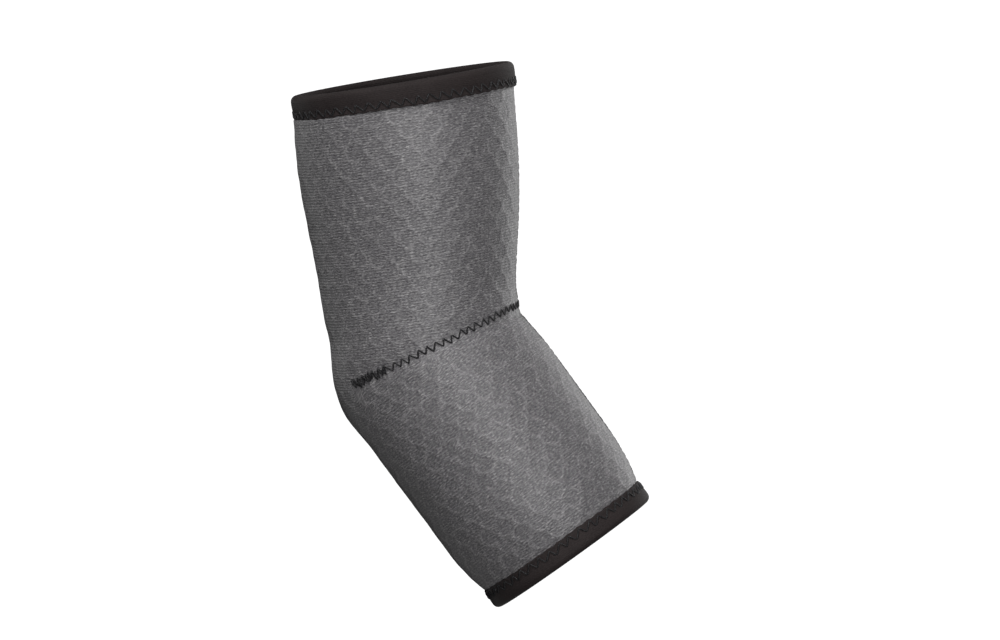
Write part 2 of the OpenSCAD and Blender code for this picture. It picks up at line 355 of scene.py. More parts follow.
GIVE_ROWS = 79
GIVE_COLUMNS = 96
GIVE_LIMIT = 1.2
GIVE_FRAMES = 20
# The cloth is cut this much fuller beside the darts than the line it is sewn to
FULLNESS = 0.08
FULLNESS_REACH = 22
# A seam holds the cloth this far to each side, and a binding this far past its edge
SEAM_HOLD = 2
HEM_HOLD = 4


def give_grid():
    share = np.linspace(-1, 1, GIVE_ROWS)[:, None]
    angle = (np.arange(GIVE_COLUMNS) / GIVE_COLUMNS * TURN)[None, :]
    return np.broadcast_arrays(share, angle)


def give_place(share, angle):
    """Row and column in the grid of give_grid."""
    return (share + 1) / 2 * (GIVE_ROWS - 1), angle / TURN * GIVE_COLUMNS


def seam_hold(share, angle):
    """1 where the darts, the front seam and the bindings hold the cloth, and 0 between them."""
    dart = dart_strength(angle) * bell(from_dart(share, angle) / SEAM_HOLD)
    front_seam = bell(from_front_seam(angle) / SEAM_HOLD)
    to_hem = np.minimum((1 - share) * UPPER_LENGTH - UPPER_BINDING_HEIGHT,
                        (1 + share) * FOREARM_LENGTH - FOREARM_BINDING_HEIGHT)
    return np.max([dart, front_seam, 1 - smooth(to_hem / HEM_HOLD)], axis=0)


def seam_fullness(share, angle):
    """1 beside the darts, where the cloth is eased in, fading out away from them."""
    return dart_strength(angle) * bell(from_dart(share, angle) / FULLNESS_REACH)


def weigh(piece, name, weights):
    """A vertex group with one weight for each of the piece's points."""
    group = piece.vertex_groups.new(name=name)
    for index, weight in enumerate(weights.ravel()):
        group.add([index], float(weight), "REPLACE")
    return name


def relax(piece, held, full):
    """Runs the cloth solver: the arm presses the cloth out between the lines that hold it."""
    scene = bpy.context.scene
    cloth = piece.modifiers.new("cloth", "CLOTH")
    settings = cloth.settings
    settings.quality = 6
    # The mass is that of one point of the mesh, and the stiffnesses suit so small a mass
    settings.mass = 0.001
    settings.tension_stiffness = 1.2
    settings.compression_stiffness = 1.2
    settings.shear_stiffness = 0.3
    settings.bending_stiffness = 0.01
    settings.air_damping = 3
    settings.effector_weights.gravity = 0
    settings.use_pressure = True
    settings.uniform_pressure_force = 40
    settings.vertex_group_mass = held
    settings.pin_stiffness = 20
    settings.vertex_group_shrink = full
    settings.shrink_min = 0
    settings.shrink_max = -FULLNESS
    cloth.point_cache.frame_start = 1
    cloth.point_cache.frame_end = GIVE_FRAMES
    for frame_number in range(1, GIVE_FRAMES + 1):
        scene.frame_set(frame_number)
    with bpy.context.temp_override(object=piece):
        bpy.ops.object.modifier_apply(modifier=cloth.name)
    scene.frame_set(1)


def cloth_give():
    """Heights of the cloth over its plain shape, on the grid of give_grid."""
    share, angle = give_grid()
    start = plain_skin(share, angle, -LAMINATE / 2)
    faces = strip_faces(GIVE_ROWS, GIVE_COLUMNS)
    piece = mesh_piece("relaxing_cloth", start.reshape(-1, 3), faces)
    held = weigh(piece, "held", seam_hold(share, angle))
    full = weigh(piece, "full", seam_fullness(share, angle))
    relax(piece, held, full)
    points = np.empty(start.size)
    piece.data.vertices.foreach_get("co", points)
    bpy.data.objects.remove(piece)
    way = plain_skin(share, angle, 1.0) - plain_skin(share, angle)
    moved = ((points.reshape(start.shape) / MM - start) * way).sum(-1)
    # The sleeve's widths are those of the stretched cloth, so only the unevenness is kept
    free = 1 - seam_hold(share, angle)
    moved = (moved - np.average(moved, weights=free)) * free
    print(f"cloth gives way by {moved.min():.2f} to {moved.max():.2f} mm")
    return GIVE_LIMIT * np.tanh(moved / GIVE_LIMIT)


def spline_weights(part):
    """Weights of four neighbours in a smooth curve, at a part of the way between the middle two."""
    before = (1 - part) ** 3
    left = 3 * part ** 3 - 6 * part ** 2 + 4
    right = -3 * part ** 3 + 3 * part ** 2 + 3 * part + 1
    return np.stack([before, left, right, part ** 3]) / 6


def between(grid, row, column):
    """A smooth value of a grid that closes round its columns, between its points."""
    first_row = np.floor(row).astype(int)
    first_column = np.floor(column).astype(int)
    row_weights = spline_weights(row - first_row)
    column_weights = spline_weights(column - first_column)
    total = 0
    for i in range(4):
        rows = np.clip(first_row + i - 1, 0, grid.shape[0] - 1)
        for j in range(4):
            columns = (first_column + j - 1) % grid.shape[1]
            total = total + row_weights[i] * column_weights[j] * grid[rows, columns]
    return total


CLOTH_GIVE = cloth_give()

# ---- Layers of the laminate ----

# The laminate's cut edges lie inside the folds of the bindings
EDGE_INSET = 2.0
# Inside a binding each face of the laminate is pressed in by this part of its distance from
# the middle. The pressing fades out over a length, of which this share is inside the binding.
HEM_SQUEEZE = 0.38
SQUEEZE_LENGTH = 1.6
SQUEEZE_INSIDE = 0.6


def inside_hems(shares):
    """Draws the shares in, so that the laminate ends inside the folds."""
    return shares * (1 - EDGE_INSET / ((UPPER_LENGTH + FOREARM_LENGTH) / 2))


def hem_squeeze(share, angle, depth):
    """The bindings press the laminate thinner, towards its middle."""
    line = Meridian(angle)
    to_edge = np.where(
        share > 0,
        (1 - share) * (line.top - line.dart) - UPPER_BINDING_HEIGHT,
        (1 + share) * (line.dart - line.bottom) - FOREARM_BINDING_HEIGHT,
    )
    pressed = 1 - smooth(to_edge / SQUEEZE_LENGTH + SQUEEZE_INSIDE)
    return (depth - LAMINATE / 2) * HEM_SQUEEZE * pressed


# Cells pressed into the face fabric, in staggered rows
CELL_PITCH = 9.4
CELL_ROW = 6.6
CELLS_ROUND = 30
CELL_RADIUS = 3.5
CELL_SLOPE = 0.75
CELL_DEPTH = 0.13
# Past the darts' ends the pattern's jump is drawn out over this length
HEALING_LENGTH = 25


def cloth_place(share, angle):
    """Millimetres on the flat cloth: round the sleeve, and down from the upper opening. Below
    the darts it is counted from the forearm opening, so the pattern jumps at the darts."""
    line = Meridian(angle)
    position = line.position(share)
    from_top = line.top - position
    from_bottom = TIP_LENGTH - (position - line.bottom)
    jump = TIP_LENGTH - (line.top - line.bottom)
    near_dart = 1 - smooth((line.dart - position) / HEALING_LENGTH)
    healed = jump * (1 - dart_strength(angle)) * near_dart
    around = angle / TURN * CELLS_ROUND * CELL_PITCH
    return around, np.where(share > 0, from_top, from_bottom - healed)


def cell_distance(around, down):
    """Distance from the centre of the nearest cell."""
    pitch = np.array([CELL_PITCH, 2 * CELL_ROW])
    place = np.stack([around, down], -1) / pitch
    distances = []
    for shift in (0, 0.5):
        offset = ((place + shift) % 1 - 0.5) * pitch
        distances.append(np.linalg.norm(offset, axis=-1))
    return np.minimum(*distances)


def cell_relief(share, angle):
    """Height of the embossed pattern, which is pressed in from the outer face."""
    distance = cell_distance(*cloth_place(share, angle))
    # The stretched cloth takes the pattern more deeply in some places than in others
    worn = 0.75 + 0.25 * np.sin(4 * angle + 5 * share) * np.sin(3 * angle - 7 * share + 1)
    return -CELL_DEPTH * worn * smooth((CELL_RADIUS - distance) / CELL_SLOPE / 2 + 0.5)


def shell(name, depths, steps, columns, material, inner_every=1, relief=None):
    """A closed layer of the laminate between two depths below the outer face. It has a number
    of steps along each arm, and its inner face only has one row in every inner_every."""
    shares = inside_hems(row_shares(steps))
    outer = layer_surface(shares, columns, depths[0], relief)
    inner_shares = shares[::inner_every]
    inner = layer_surface(inner_shares, columns, depths[1])
    rows, inner_rows = len(shares), len(inner_shares)
    outer_faces = strip_faces(rows, columns)
    first_inner = rows * columns
    inner_faces = strip_faces(inner_rows, columns)[:, ::-1] + first_inner
    column = np.arange(columns)
    after = (column + 1) % columns
    last, inner_last = (rows - 1) * columns, first_inner + (inner_rows - 1) * columns
    low_rim = np.stack([column, first_inner + column, first_inner + after, after], -1)
    high_rim = np.stack([last + after, inner_last + after, inner_last + column, last + column], -1)
    faces = np.concatenate([outer_faces, inner_faces, low_rim, high_rim])
    points = np.concatenate([outer.reshape(-1, 3), inner.reshape(-1, 3)])
    uv = np.concatenate([
        grid_uv(shares, columns),
        grid_uv(inner_shares, columns)[:, ::-1],
        np.zeros((2 * columns, 4, 2)),
    ])
    return mesh_piece(name, points, faces, material, uv)


def angles(columns):
    """Angles of a grid's columns, as one row."""
    return (np.arange(columns) / columns * TURN)[None, :]


def layer_surface(shares, columns, depth, relief=None):
    angle = angles(columns)
    share, angle = np.broadcast_arrays(shares[:, None], angle)
    height = -depth + hem_squeeze(share, angle, depth)
    if relief is not None:
        height = height + relief(share, angle)
    return skin(share, angle, height)


def grid_uv(shares, columns):
    """The flat cloth's place at the four corners of each quad of a layer's surface."""
    low, high = shares[:-1, None], shares[1:, None]
    # A quad that touches the darts' line takes that line's place from its own side
    nudge = 1e-6 * np.where(low + high > 0, 1, -1)
    left = angles(columns)
    right = left + TURN / columns
    corners = []
    for share, angle in ((low, left), (low, right), (high, right), (high, left)):
        corners.append(np.stack(cloth_place(*np.broadcast_arrays(share + nudge, angle)), -1))
    return np.stack(corners, 2).reshape(-1, 4, 2)


# ---- Materials ----


def new_material(name):
    material = bpy.data.materials.new(name)
    material.use_nodes = True
    return material, material.node_tree, material.node_tree.nodes["Principled BSDF"]


def feed(tree, made, inputs):
    """Gives each of a node's sockets its value, or links it to another node's output."""
    for socket, value in inputs.items():
        if isinstance(value, bpy.types.NodeSocket):
            tree.links.new(value, made.inputs[socket])
        else:
            made.inputs[socket].default_value = value


def node(tree, kind, inputs=(), **settings):
    """A shader node. inputs are pairs, as feed takes them."""
    made = tree.nodes.new(kind)
    for name, value in settings.items():
        setattr(made, name, value)
    feed(tree, made, dict(inputs))
    return made


def math_node(tree, operation, first, second=0.0):
    return node(tree, "ShaderNodeMath", [(0, first), (1, second)], operation=operation).outputs[0]


def vector_node(tree, operation, first, second=(0, 0, 0)):
    made = node(tree, "ShaderNodeVectorMath", [(0, first), (1, second)], operation=operation)
    return made.outputs["Value" if operation == "LENGTH" else "Vector"]


def ramp(tree, value, low, high, to_low=0.0, to_high=1.0, interpolation="SMOOTHSTEP"):
    inputs = [("Value", value), ("From Min", low), ("From Max", high),
              ("To Min", to_low), ("To Max", to_high)]
    made = node(tree, "ShaderNodeMapRange", inputs, interpolation_type=interpolation)
    return made.outputs["Result"]


def noise(tree, place, cell, detail=2.0):
    """Noise whose grain has the given size in millimetres, (round, down)."""
    scaled = vector_node(tree, "MULTIPLY", place, (1 / cell[0], 1 / cell[1], 1))
    inputs = [("Vector", scaled), ("Scale", 1.0), ("Detail", detail)]
    return node(tree, "ShaderNodeTexNoise", inputs).outputs["Fac"]


def mixed_colour(tree, factor, first, second):
    """A mix of two colours, each three numbers or another node's output."""
    inputs = [("Factor", factor)]
    # Sockets 6 and 7 of a mix are its two colours, and output 2 is the mixed colour
    for socket, value in ((6, first), (7, second)):
        is_plain = isinstance(value, tuple)
        inputs.append((socket, (*value, 1) if is_plain else value))
    return node(tree, "ShaderNodeMix", inputs, data_type="RGBA").outputs[2]


def cloth_uv(tree):
    """The surface's place on the flat cloth, in millimetres."""
    return node(tree, "ShaderNodeUVMap", uv_map="cloth").outputs["UV"]


def bump(tree, height, distance_mm, strength=1.0, below=None):
    inputs = [("Height", height), ("Distance", distance_mm * MM), ("Strength", strength)]
    if below is not None:
        inputs.append(("Normal", below))
    return node(tree, "ShaderNodeBump", inputs).outputs["Normal"]


def sine_rows(tree, place, axis, pitch):
    """Even rows across one axis of the flat cloth, from -1 to 1."""
    along = node(tree, "ShaderNodeSeparateXYZ", [(0, place)]).outputs[axis]
    return math_node(tree, "SINE", math_node(tree, "MULTIPLY", along, TURN / pitch))


def cell_mask(tree, place):
    """1 inside a cell of the embossed pattern and 0 on the web between cells, and the distance
    from the nearest cell's centre."""
    pitch = (CELL_PITCH, 2 * CELL_ROW, 1)
    scaled = vector_node(tree, "DIVIDE", place, pitch)
    distances = []
    for shift in (0, 0.5):
        moved = vector_node(tree, "ADD", scaled, (shift, shift, 0))
        part = vector_node(tree, "FRACTION", moved)
        centred = vector_node(tree, "SUBTRACT", part, (0.5, 0.5, 0))
        distances.append(vector_node(tree, "LENGTH", vector_node(tree, "MULTIPLY", centred, pitch)))
    nearest = math_node(tree, "MINIMUM", *distances)
    return ramp(tree, nearest, CELL_RADIUS + CELL_SLOPE, CELL_RADIUS - CELL_SLOPE), nearest


COURSE_PITCH = 1.25


def knit_courses(tree, place):
    """Courses of stitches across the sleeve, from -1 to 1. They wander, and fade in places."""
    down = node(tree, "ShaderNodeSeparateXYZ", [(0, place)]).outputs["Y"]
    wander = math_node(tree, "MULTIPLY", noise(tree, place, (7, 4)), 5)
    turn = math_node(tree, "ADD", math_node(tree, "MULTIPLY", down, TURN / COURSE_PITCH), wander)
    fading = ramp(tree, noise(tree, place, (3.2, 1.6)), 0.3, 0.6, 0.25)
    return math_node(tree, "MULTIPLY", math_node(tree, "SINE", turn), fading)


def cell_rim_highlights(tree, place, distance):
    """Thin broken rings round the cells, painted lighter: a painted highlight where the cells' edges
    catch the light.
    """
    wander = math_node(tree, "MULTIPLY", noise(tree, place, (2.6, 2.2), 1.0), 1.6)
    wandering = math_node(tree, "ADD", distance, wander)
    ring = math_node(tree, "SUBTRACT", wandering, CELL_RADIUS + 1.1)
    near_ring = ramp(tree, math_node(tree, "ABSOLUTE", ring), 0.5, 0.1)
    # Noise breaks the painted highlight up into arcs
    broken_up = ramp(tree, noise(tree, place, (5.5, 4.5), 1.0), 0.45, 0.6)
    return math_node(tree, "MULTIPLY", near_ring, broken_up)


def face_knit():
    """Heather-grey knit: dark and light fibres along its courses, with painted shade in its
    pressed-in cells and a painted highlight on thin rings round them.
    """
    material, tree, shader = new_material("face_knit")
    place = cloth_uv(tree)
    cell, distance = cell_mask(tree, place)
    fibres = noise(tree, place, (1.2, 0.34), 2.0)
    hairs = noise(tree, place, (2.1, 0.32), 1.0)
    dark_hairs = noise(tree, vector_node(tree, "ADD", place, (31, 17, 5)), (1.3, 0.36), 1.0)
    cloudy = noise(tree, place, (13, 10), 3.0)
    course = knit_courses(tree, place)
    rim = cell_rim_highlights(tree, place, distance)
    blend = ramp(tree, fibres, 0.41, 0.59)
    grey = mixed_colour(tree, blend, (0.088, 0.084, 0.091), (0.2, 0.193, 0.2))
    light = ramp(tree, hairs, 0.57, 0.65, 0.0, 0.7)
    grey = mixed_colour(tree, light, grey, (0.42, 0.41, 0.405))
    dark = ramp(tree, dark_hairs, 0.57, 0.65, 0.0, 0.65)
    grey = mixed_colour(tree, dark, grey, (0.045, 0.043, 0.048))
    # Painted highlight: the thin rings round the cells are mixed towards light grey
    grey = mixed_colour(tree, math_node(tree, "MULTIPLY", rim, 0.27), grey, (0.40, 0.39, 0.39))
    shade = ramp(tree, cloudy, 0.3, 0.7, 0.96, 1.05)
    # Painted shade: the pressed-in cells are made a little darker
    cell_shade = math_node(tree, "SUBTRACT", 1.02, math_node(tree, "MULTIPLY", cell, 0.05))
    in_course = math_node(tree, "ADD", 1.02, math_node(tree, "MULTIPLY", course, 0.17))
    for factor in (cell_shade, in_course):
        shade = math_node(tree, "MULTIPLY", shade, factor)
    scale = node(tree, "ShaderNodeCombineXYZ", [(0, shade), (1, shade), (2, shade)]).outputs[0]
    embossed = bump(tree, math_node(tree, "MULTIPLY", cell, -1.0), 0.1)
    coursed = bump(tree, course, 0.04, below=embossed)
    fine = bump(tree, math_node(tree, "ADD", fibres, hairs), 0.1, below=coursed)
    feed(tree, shader, {
        "Base Color": vector_node(tree, "MULTIPLY", grey, scale),
        "Roughness": ramp(tree, fibres, 0.3, 0.7, 0.58, 0.46, "LINEAR"),
        "Normal": fine,
        "Sheen Weight": 0.12,
        "Sheen Roughness": 0.5,
        "Specular IOR Level": 0.6,
    })
    return material


def foam_rubber():
    """Closed-cell foam, seen only where the laminate is cut."""
    material, tree, shader = new_material("foam_core")
    place = cloth_uv(tree)
    pores = noise(tree, place, (0.4, 0.4), 3.0)
    walls = ramp(tree, pores, 0.35, 0.65)
    colour = mixed_colour(tree, walls, (0.012, 0.012, 0.013), (0.03, 0.03, 0.032))
    feed(tree, shader, {"Base Color": colour, "Normal": bump(tree, pores, 0.1), "Roughness": 0.85})
    return material


def lining_knit():
    """Plain dark jersey: fine ribs of stitches up the sleeve."""
    material, tree, shader = new_material("lining_knit")
    place = cloth_uv(tree)
    rib = sine_rows(tree, place, "X", 0.9)
    course = sine_rows(tree, place, "Y", 0.7)
    knit = math_node(tree, "ADD", rib, math_node(tree, "MULTIPLY", course, 0.5))
    fuzz = noise(tree, place, (0.7, 0.7), 3.0)
    cloudy = noise(tree, place, (14, 14))
    fluff = ramp(tree, fuzz, 0.3, 0.7)
    colour = mixed_colour(tree, fluff, (0.022, 0.022, 0.026), (0.05, 0.05, 0.056))
    patches = ramp(tree, cloudy, 0.35, 0.65, 0.0, 0.35)
    colour = mixed_colour(tree, patches, colour, (0.06, 0.06, 0.066))
    feed(tree, shader, {
        "Base Color": colour,
        "Roughness": ramp(tree, fuzz, 0.3, 0.7, 0.98, 0.85, "LINEAR"),
        "Normal": bump(tree, fuzz, 0.08, below=bump(tree, knit, 0.06)),
        "Sheen Weight": 0.2,
        "Sheen Roughness": 0.5,
    })
    return material


def binding_tape():
    """Smooth dark elastic tape with faint ribs along its length."""
    material, tree, shader = new_material("binding_tape")
    place = cloth_uv(tree)
    rib = sine_rows(tree, place, "Y", 0.8)
    fuzz = noise(tree, place, (0.9, 0.35), 3.0)
    cloudy = noise(tree, place, (11, 5))
    fluff = ramp(tree, fuzz, 0.3, 0.7)
    colour = mixed_colour(tree, fluff, (0.019, 0.0148, 0.0148), (0.034, 0.0268, 0.0268))
    patches = ramp(tree, cloudy, 0.35, 0.7, 0.0, 0.3)
    colour = mixed_colour(tree, patches, colour, (0.041, 0.033, 0.032))
    feed(tree, shader, {
        "Base Color": colour,
        "Roughness": ramp(tree, fuzz, 0.3, 0.7, 0.88, 0.7, "LINEAR"),
        "Normal": bump(tree, fuzz, 0.07, below=bump(tree, rib, 0.025)),
        "Sheen Weight": 0.06,
        "Sheen Roughness": 0.4,
        "Specular IOR Level": 0.18,
    })
    return material


def sewing_thread():
    """Black polyester thread: plies that twist round it, painted lighter on their ridges and darker
    in the grooves between them (painted highlight and shade).
    """
    material, tree, shader = new_material("sewing_thread")
    place = cloth_uv(tree)
    split = node(tree, "ShaderNodeSeparateXYZ", [(0, place)])
    along = math_node(tree, "MULTIPLY", split.outputs["X"], TURN / 0.7)
    around = math_node(tree, "MULTIPLY", split.outputs["Y"], 2 * TURN)
    ply = math_node(tree, "SINE", math_node(tree, "ADD", along, around))
    # Painted highlight and shade: the plies' ridges are mixed lighter and the grooves between them
    # darker
    ridge = ramp(tree, ply, -1, 1)
    colour = mixed_colour(tree, ridge, (0.006, 0.006, 0.007), (0.022, 0.021, 0.023))
    feed(tree, shader, {
        "Base Color": colour,
        "Normal": bump(tree, ply, 0.05),
        "Roughness": 0.5,
        "Specular IOR Level": 0.4,
    })
    return material


FACE_KNIT = face_knit()
FOAM_RUBBER = foam_rubber()
LINING_KNIT = lining_knit()
BINDING_TAPE = binding_tape()
SEWING_THREAD = sewing_thread()

# ---- Bindings ----


class Opening:
    """One end of the sleeve, with the frame that its binding is drawn in."""

    def __init__(self, name, tilt, sign, length, radius, height, stitches):
        turn = np.array(tilt)
        self.name = name
        self.front = front(turn)
        self.axis = sign * upward(turn)
        self.sign = sign
        self.radius = radius
        self.height = height
        self.stitches = stitches
        self.middle = radius - LAMINATE / 2
        arm_tilt = np.array(0.0 if sign > 0 else BEND)
        self.centre = HINGE + sign * length * upward(arm_tilt)

    def point(self, radius, angle, rise):
        """rise is counted outwards from the opening's edge."""
        spoke = np.cos(angle)[..., None] * self.front + np.sin(angle)[..., None] * Y
        return self.centre + radius[..., None] * spoke + rise[..., None] * self.axis


UPPER_OPENING = Opening("upper", UPPER_OPENING_TILT, 1, UPPER_LENGTH, UPPER_RADIUS,
                        UPPER_BINDING_HEIGHT, 57)
FOREARM_OPENING = Opening("forearm", BEND, -1, FOREARM_LENGTH, FOREARM_END_RADIUS,
                          FOREARM_BINDING_HEIGHT, 48)

FOLD_RADIUS = LAMINATE / 2 + TAPE_PROUD
STITCH_WIDTH = 3.8
# The row of stitches keeps this far from the tape's cut edge, and its dent a little further
STITCH_MARGIN = 0.45
DENT_MARGIN = 0.5
# The stitches press the tape in, pucker it between them, and leave it puffed up above them
STITCH_PRESS = 0.3
STITCH_PUCKER = 0.1
EDGE_SCALLOP = 0.18
TAPE_PUFF = 0.1
PUFF_DEPTH = 4.2
# The tape's inner leg follows the outer one's unevenness by this part, the other way
INNER_SWELL = -0.4
BINDING_COLUMNS = 384


def tape_height(opening, angle):
    """The tape's cut edge is drawn in between the stitches, and wanders a little."""
    scallop = EDGE_SCALLOP * np.cos(opening.stitches * angle)
    wander = 0.15 * np.sin(5 * angle + 1) + 0.1 * np.sin(11 * angle + 2)
    return opening.height + scallop + wander


def tape_swell(opening, angle, below_edge):
    """How far the tape stands out of its plain section, at a depth below the edge."""
    from_stitches = below_edge - (opening.height - STITCH_WIDTH / 2 - DENT_MARGIN)
    press = STITCH_PRESS * bell(from_stitches / 1.8)
    puckered = np.cos(2 * opening.stitches * angle) * bell(from_stitches / 1.6)
    puff = TAPE_PUFF * bell((below_edge - PUFF_DEPTH) / 2.4)
    slow = 0.09 * np.sin(3 * angle + 0.7) + 0.06 * np.sin(8 * angle + 2.1)
    return puff - press + STITCH_PUCKER * puckered + slow


def tape_section(height):
    """Outline of the folded tape: (offset from the middle of the laminate, depth below the
    edge). It runs up the outer face, over the fold, down the inner face and back through the
    inside."""
    leg = np.linspace(height - TAPE / 2, FOLD_RADIUS, 16)
    fold = np.linspace(0, math.pi, 13)[1:-1]
    tip = np.linspace(0, math.pi, 7)[1:-1]
    cavity = FOLD_RADIUS - TAPE
    leg_middle = FOLD_RADIUS - TAPE / 2
    outline = [(FOLD_RADIUS, depth) for depth in leg]
    outline += [(FOLD_RADIUS * math.cos(a), FOLD_RADIUS * (1 - math.sin(a))) for a in fold]
    outline += [(-FOLD_RADIUS, depth) for depth in leg[::-1]]
    outline += [(-leg_middle - TAPE / 2 * math.cos(a), leg[0] + TAPE / 2 * math.sin(a)) for a in tip]
    outline += [(-cavity, depth) for depth in leg[::3]]
    outline += [(-cavity * math.cos(a), FOLD_RADIUS - cavity * math.sin(a)) for a in fold[::2]]
    outline += [(cavity, depth) for depth in leg[::-3]]
    outline += [(leg_middle - TAPE / 2 * math.cos(a), leg[0] + TAPE / 2 * math.sin(a)) for a in tip]
    return np.array(outline)


def binding(opening):
    outline = tape_section(opening.height)
    offset = outline[:, :1]
    depth, angle = np.broadcast_arrays(outline[:, 1:], angles(BINDING_COLUMNS))
    stretched = depth * tape_height(opening, angle) / opening.height
    outer_share = unit_share(offset / FOLD_RADIUS * 0.5 + 0.5)
    swell = tape_swell(opening, angle, depth) * (outer_share + (1 - outer_share) * INNER_SWELL)
    points = opening.point(opening.middle + offset + swell, angle, -stretched)
    faces = strip_faces(len(outline), BINDING_COLUMNS, closed_along=True)
    uv = binding_uv(opening, path_lengths(outline))
    if opening.sign < 0:
        faces = faces[:, ::-1]
        uv = uv[:, ::-1]
    return mesh_piece(opening.name + "_binding", points.reshape(-1, 3), faces, BINDING_TAPE, uv)


def path_lengths(points):
    """Length of the way along a row of points, at each of them."""
    steps = np.linalg.norm(np.diff(points, axis=0), axis=1)
    return np.concatenate([[0], np.cumsum(steps)])


def strip_uv(low, high, left, right):
    """The row's and the column's value at the corners of the quads of strip_faces. low and
    high hold one value for each row, and left and right one for each column."""
    corners = []
    for row_value, column_value in ((low, left), (low, right), (high, right), (high, left)):
        corners.append(np.stack(np.broadcast_arrays(row_value, column_value), -1))
    return np.stack(corners, 2).reshape(-1, 4, 2)


def binding_uv(opening, path):
    """Millimetres along the tape and across it, at the corners of the binding's quads."""
    low = path[:, None]
    high = np.append(path[1:], path[-1] + TAPE)[:, None]
    left = angles(BINDING_COLUMNS) * opening.radius
    right = left + TURN * opening.radius / BINDING_COLUMNS
    return strip_uv(low, high, left, right)[..., ::-1]


# ---- Threads ----

THREAD_RADIUS = 0.36
THREAD_SIDES = 8


def tube(points, radius, closed=False):
    """A round tube along points: its points, faces and uv (mm along, turn round)."""
    if closed:
        tangent = np.roll(points, -1, 0) - np.roll(points, 1, 0)
    else:
        tangent = np.gradient(points, axis=0)
    tangent /= np.linalg.norm(tangent, axis=1, keepdims=True)
    side = np.cross(tangent, away_from_arm(points))
    side /= np.linalg.norm(side, axis=1, keepdims=True)
    up = np.cross(side, tangent)
    turn = angles(THREAD_SIDES)[..., None]
    ring = np.cos(turn) * side[:, None] + np.sin(turn) * up[:, None]
    surface = points[:, None] + radius * ring
    faces = strip_faces(len(points), THREAD_SIDES, closed_along=closed)
    return surface.reshape(-1, 3), faces, tube_uv(path_lengths(points), closed)


def away_from_arm(points):
    """The way from the axis of the upper arm or forearm to each point."""
    from_hinge = points - HINGE
    axis = np.where((from_hinge[:, 2] > 0)[:, None], UPPER_AXIS, FOREARM_AXIS)
    return from_hinge - (from_hinge * axis).sum(1, keepdims=True) * axis


def tube_uv(length, closed):
    low = length[:, None]
    high = np.append(length[1:], length[-1] + np.diff(length).mean())[:, None]
    if not closed:
        low = low[:-1]
        high = high[:-1]
    left = angles(THREAD_SIDES) / TURN
    return strip_uv(low, high, left, left + 1 / THREAD_SIDES)


def thread_piece(name, runs):
    """One piece from several runs of thread. A run is (points, closed)."""
    all_points = []
    all_faces = []
    all_uv = []
    start = 0
    for points, closed in runs:
        surface, faces, uv = tube(points, THREAD_RADIUS, closed)
        all_points.append(surface)
        all_faces += (faces + start).tolist()
        all_uv.append(uv.reshape(-1, 2))
        if not closed:
            ring = np.arange(THREAD_SIDES)
            first_cap = start + ring[::-1]
            last_cap = start + len(surface) - THREAD_SIDES + ring
            all_faces += [first_cap.tolist(), last_cap.tolist()]
            all_uv.append(np.zeros((2 * THREAD_SIDES, 2)))
        start += len(surface)
    points = np.concatenate(all_points)
    return mesh_piece(name, points, all_faces, SEWING_THREAD, np.concatenate(all_uv))


LEG_STEPS = 8
NEEDLE_DIVE = 0.35
# Between two needle holes the thread's centre lies this part of its radius above the cloth
THREAD_REST = 0.75
# Below 1, the thread leaves its needle hole steeply and lies flat between the holes
LEG_ROUNDNESS = 0.6
# How far the zigzag leans, as a part of one leg
LEG_LEAN = 0.15
# How far the needle holes stray, as a part of one leg
UNEVENNESS = 0.12


def zigzag(turns, closed=False, unevenness=UNEVENNESS):
    """Places along a zigzag: (turn along the seam, swing from -1 to 1, lift from 0 to 1). Each
    leg rises out of one needle hole and dives into the next. The holes are a little uneven."""
    legs = turns if closed else turns - 1
    step = np.arange(legs * LEG_STEPS + (0 if closed else 1))
    leg = step // LEG_STEPS
    part = step % LEG_STEPS / LEG_STEPS
    lift = np.sin(math.pi * part) ** LEG_ROUNDNESS
    places = []
    for hole in (leg, (leg + 1) % legs if closed else leg + 1):
        side = np.where(hole % 2 == 0, 1.0, -1.0)
        # Sines of unrelated pitches, so that no two stitches are alike
        early = unevenness * (np.sin(2.3 * hole) + np.sin(5.1 * hole + 1)) + LEG_LEAN * side
        wide = side * (1 + 0.8 * unevenness * (np.sin(3.7 * hole + 2) + np.sin(1.9 * hole)))
        places.append((early, wide))
    (early, wide), (next_early, next_wide) = places
    shift = early + (next_early - early) * part
    swing = wide + (next_wide - wide) * part
    return leg + part + shift, swing, lift


def thread_height(lift):
    """Height of the thread's centre above the cloth."""
    return -NEEDLE_DIVE + (NEEDLE_DIVE + THREAD_RADIUS * THREAD_REST) * lift


def hem_thread(opening, inner):
    """The zigzag round a binding, on its outer or its inner leg."""
    turns = 2 * opening.stitches
    turn, swing, lift = zigzag(turns, closed=True)
    angle = turn / turns * TURN
    middle = opening.height - STITCH_WIDTH / 2 - STITCH_MARGIN
    depth = middle + swing * (STITCH_WIDTH / 2 - THREAD_RADIUS)
    swell = tape_swell(opening, angle, depth)
    height = thread_height(lift)
    if inner:
        radius = opening.middle - FOLD_RADIUS + INNER_SWELL * swell - height
    else:
        radius = opening.middle + FOLD_RADIUS + swell + height
    return opening.point(radius, angle, -depth * tape_height(opening, angle) / opening.height)


SEAM_STITCH = 4.0
BACKTACK_LENGTH = 20.0
# A dart's thread starts this far from the front seam, round the sleeve
DART_START_GAP = 4
# The front seam's thread stops this far from the bindings
HEM_GAP = 1


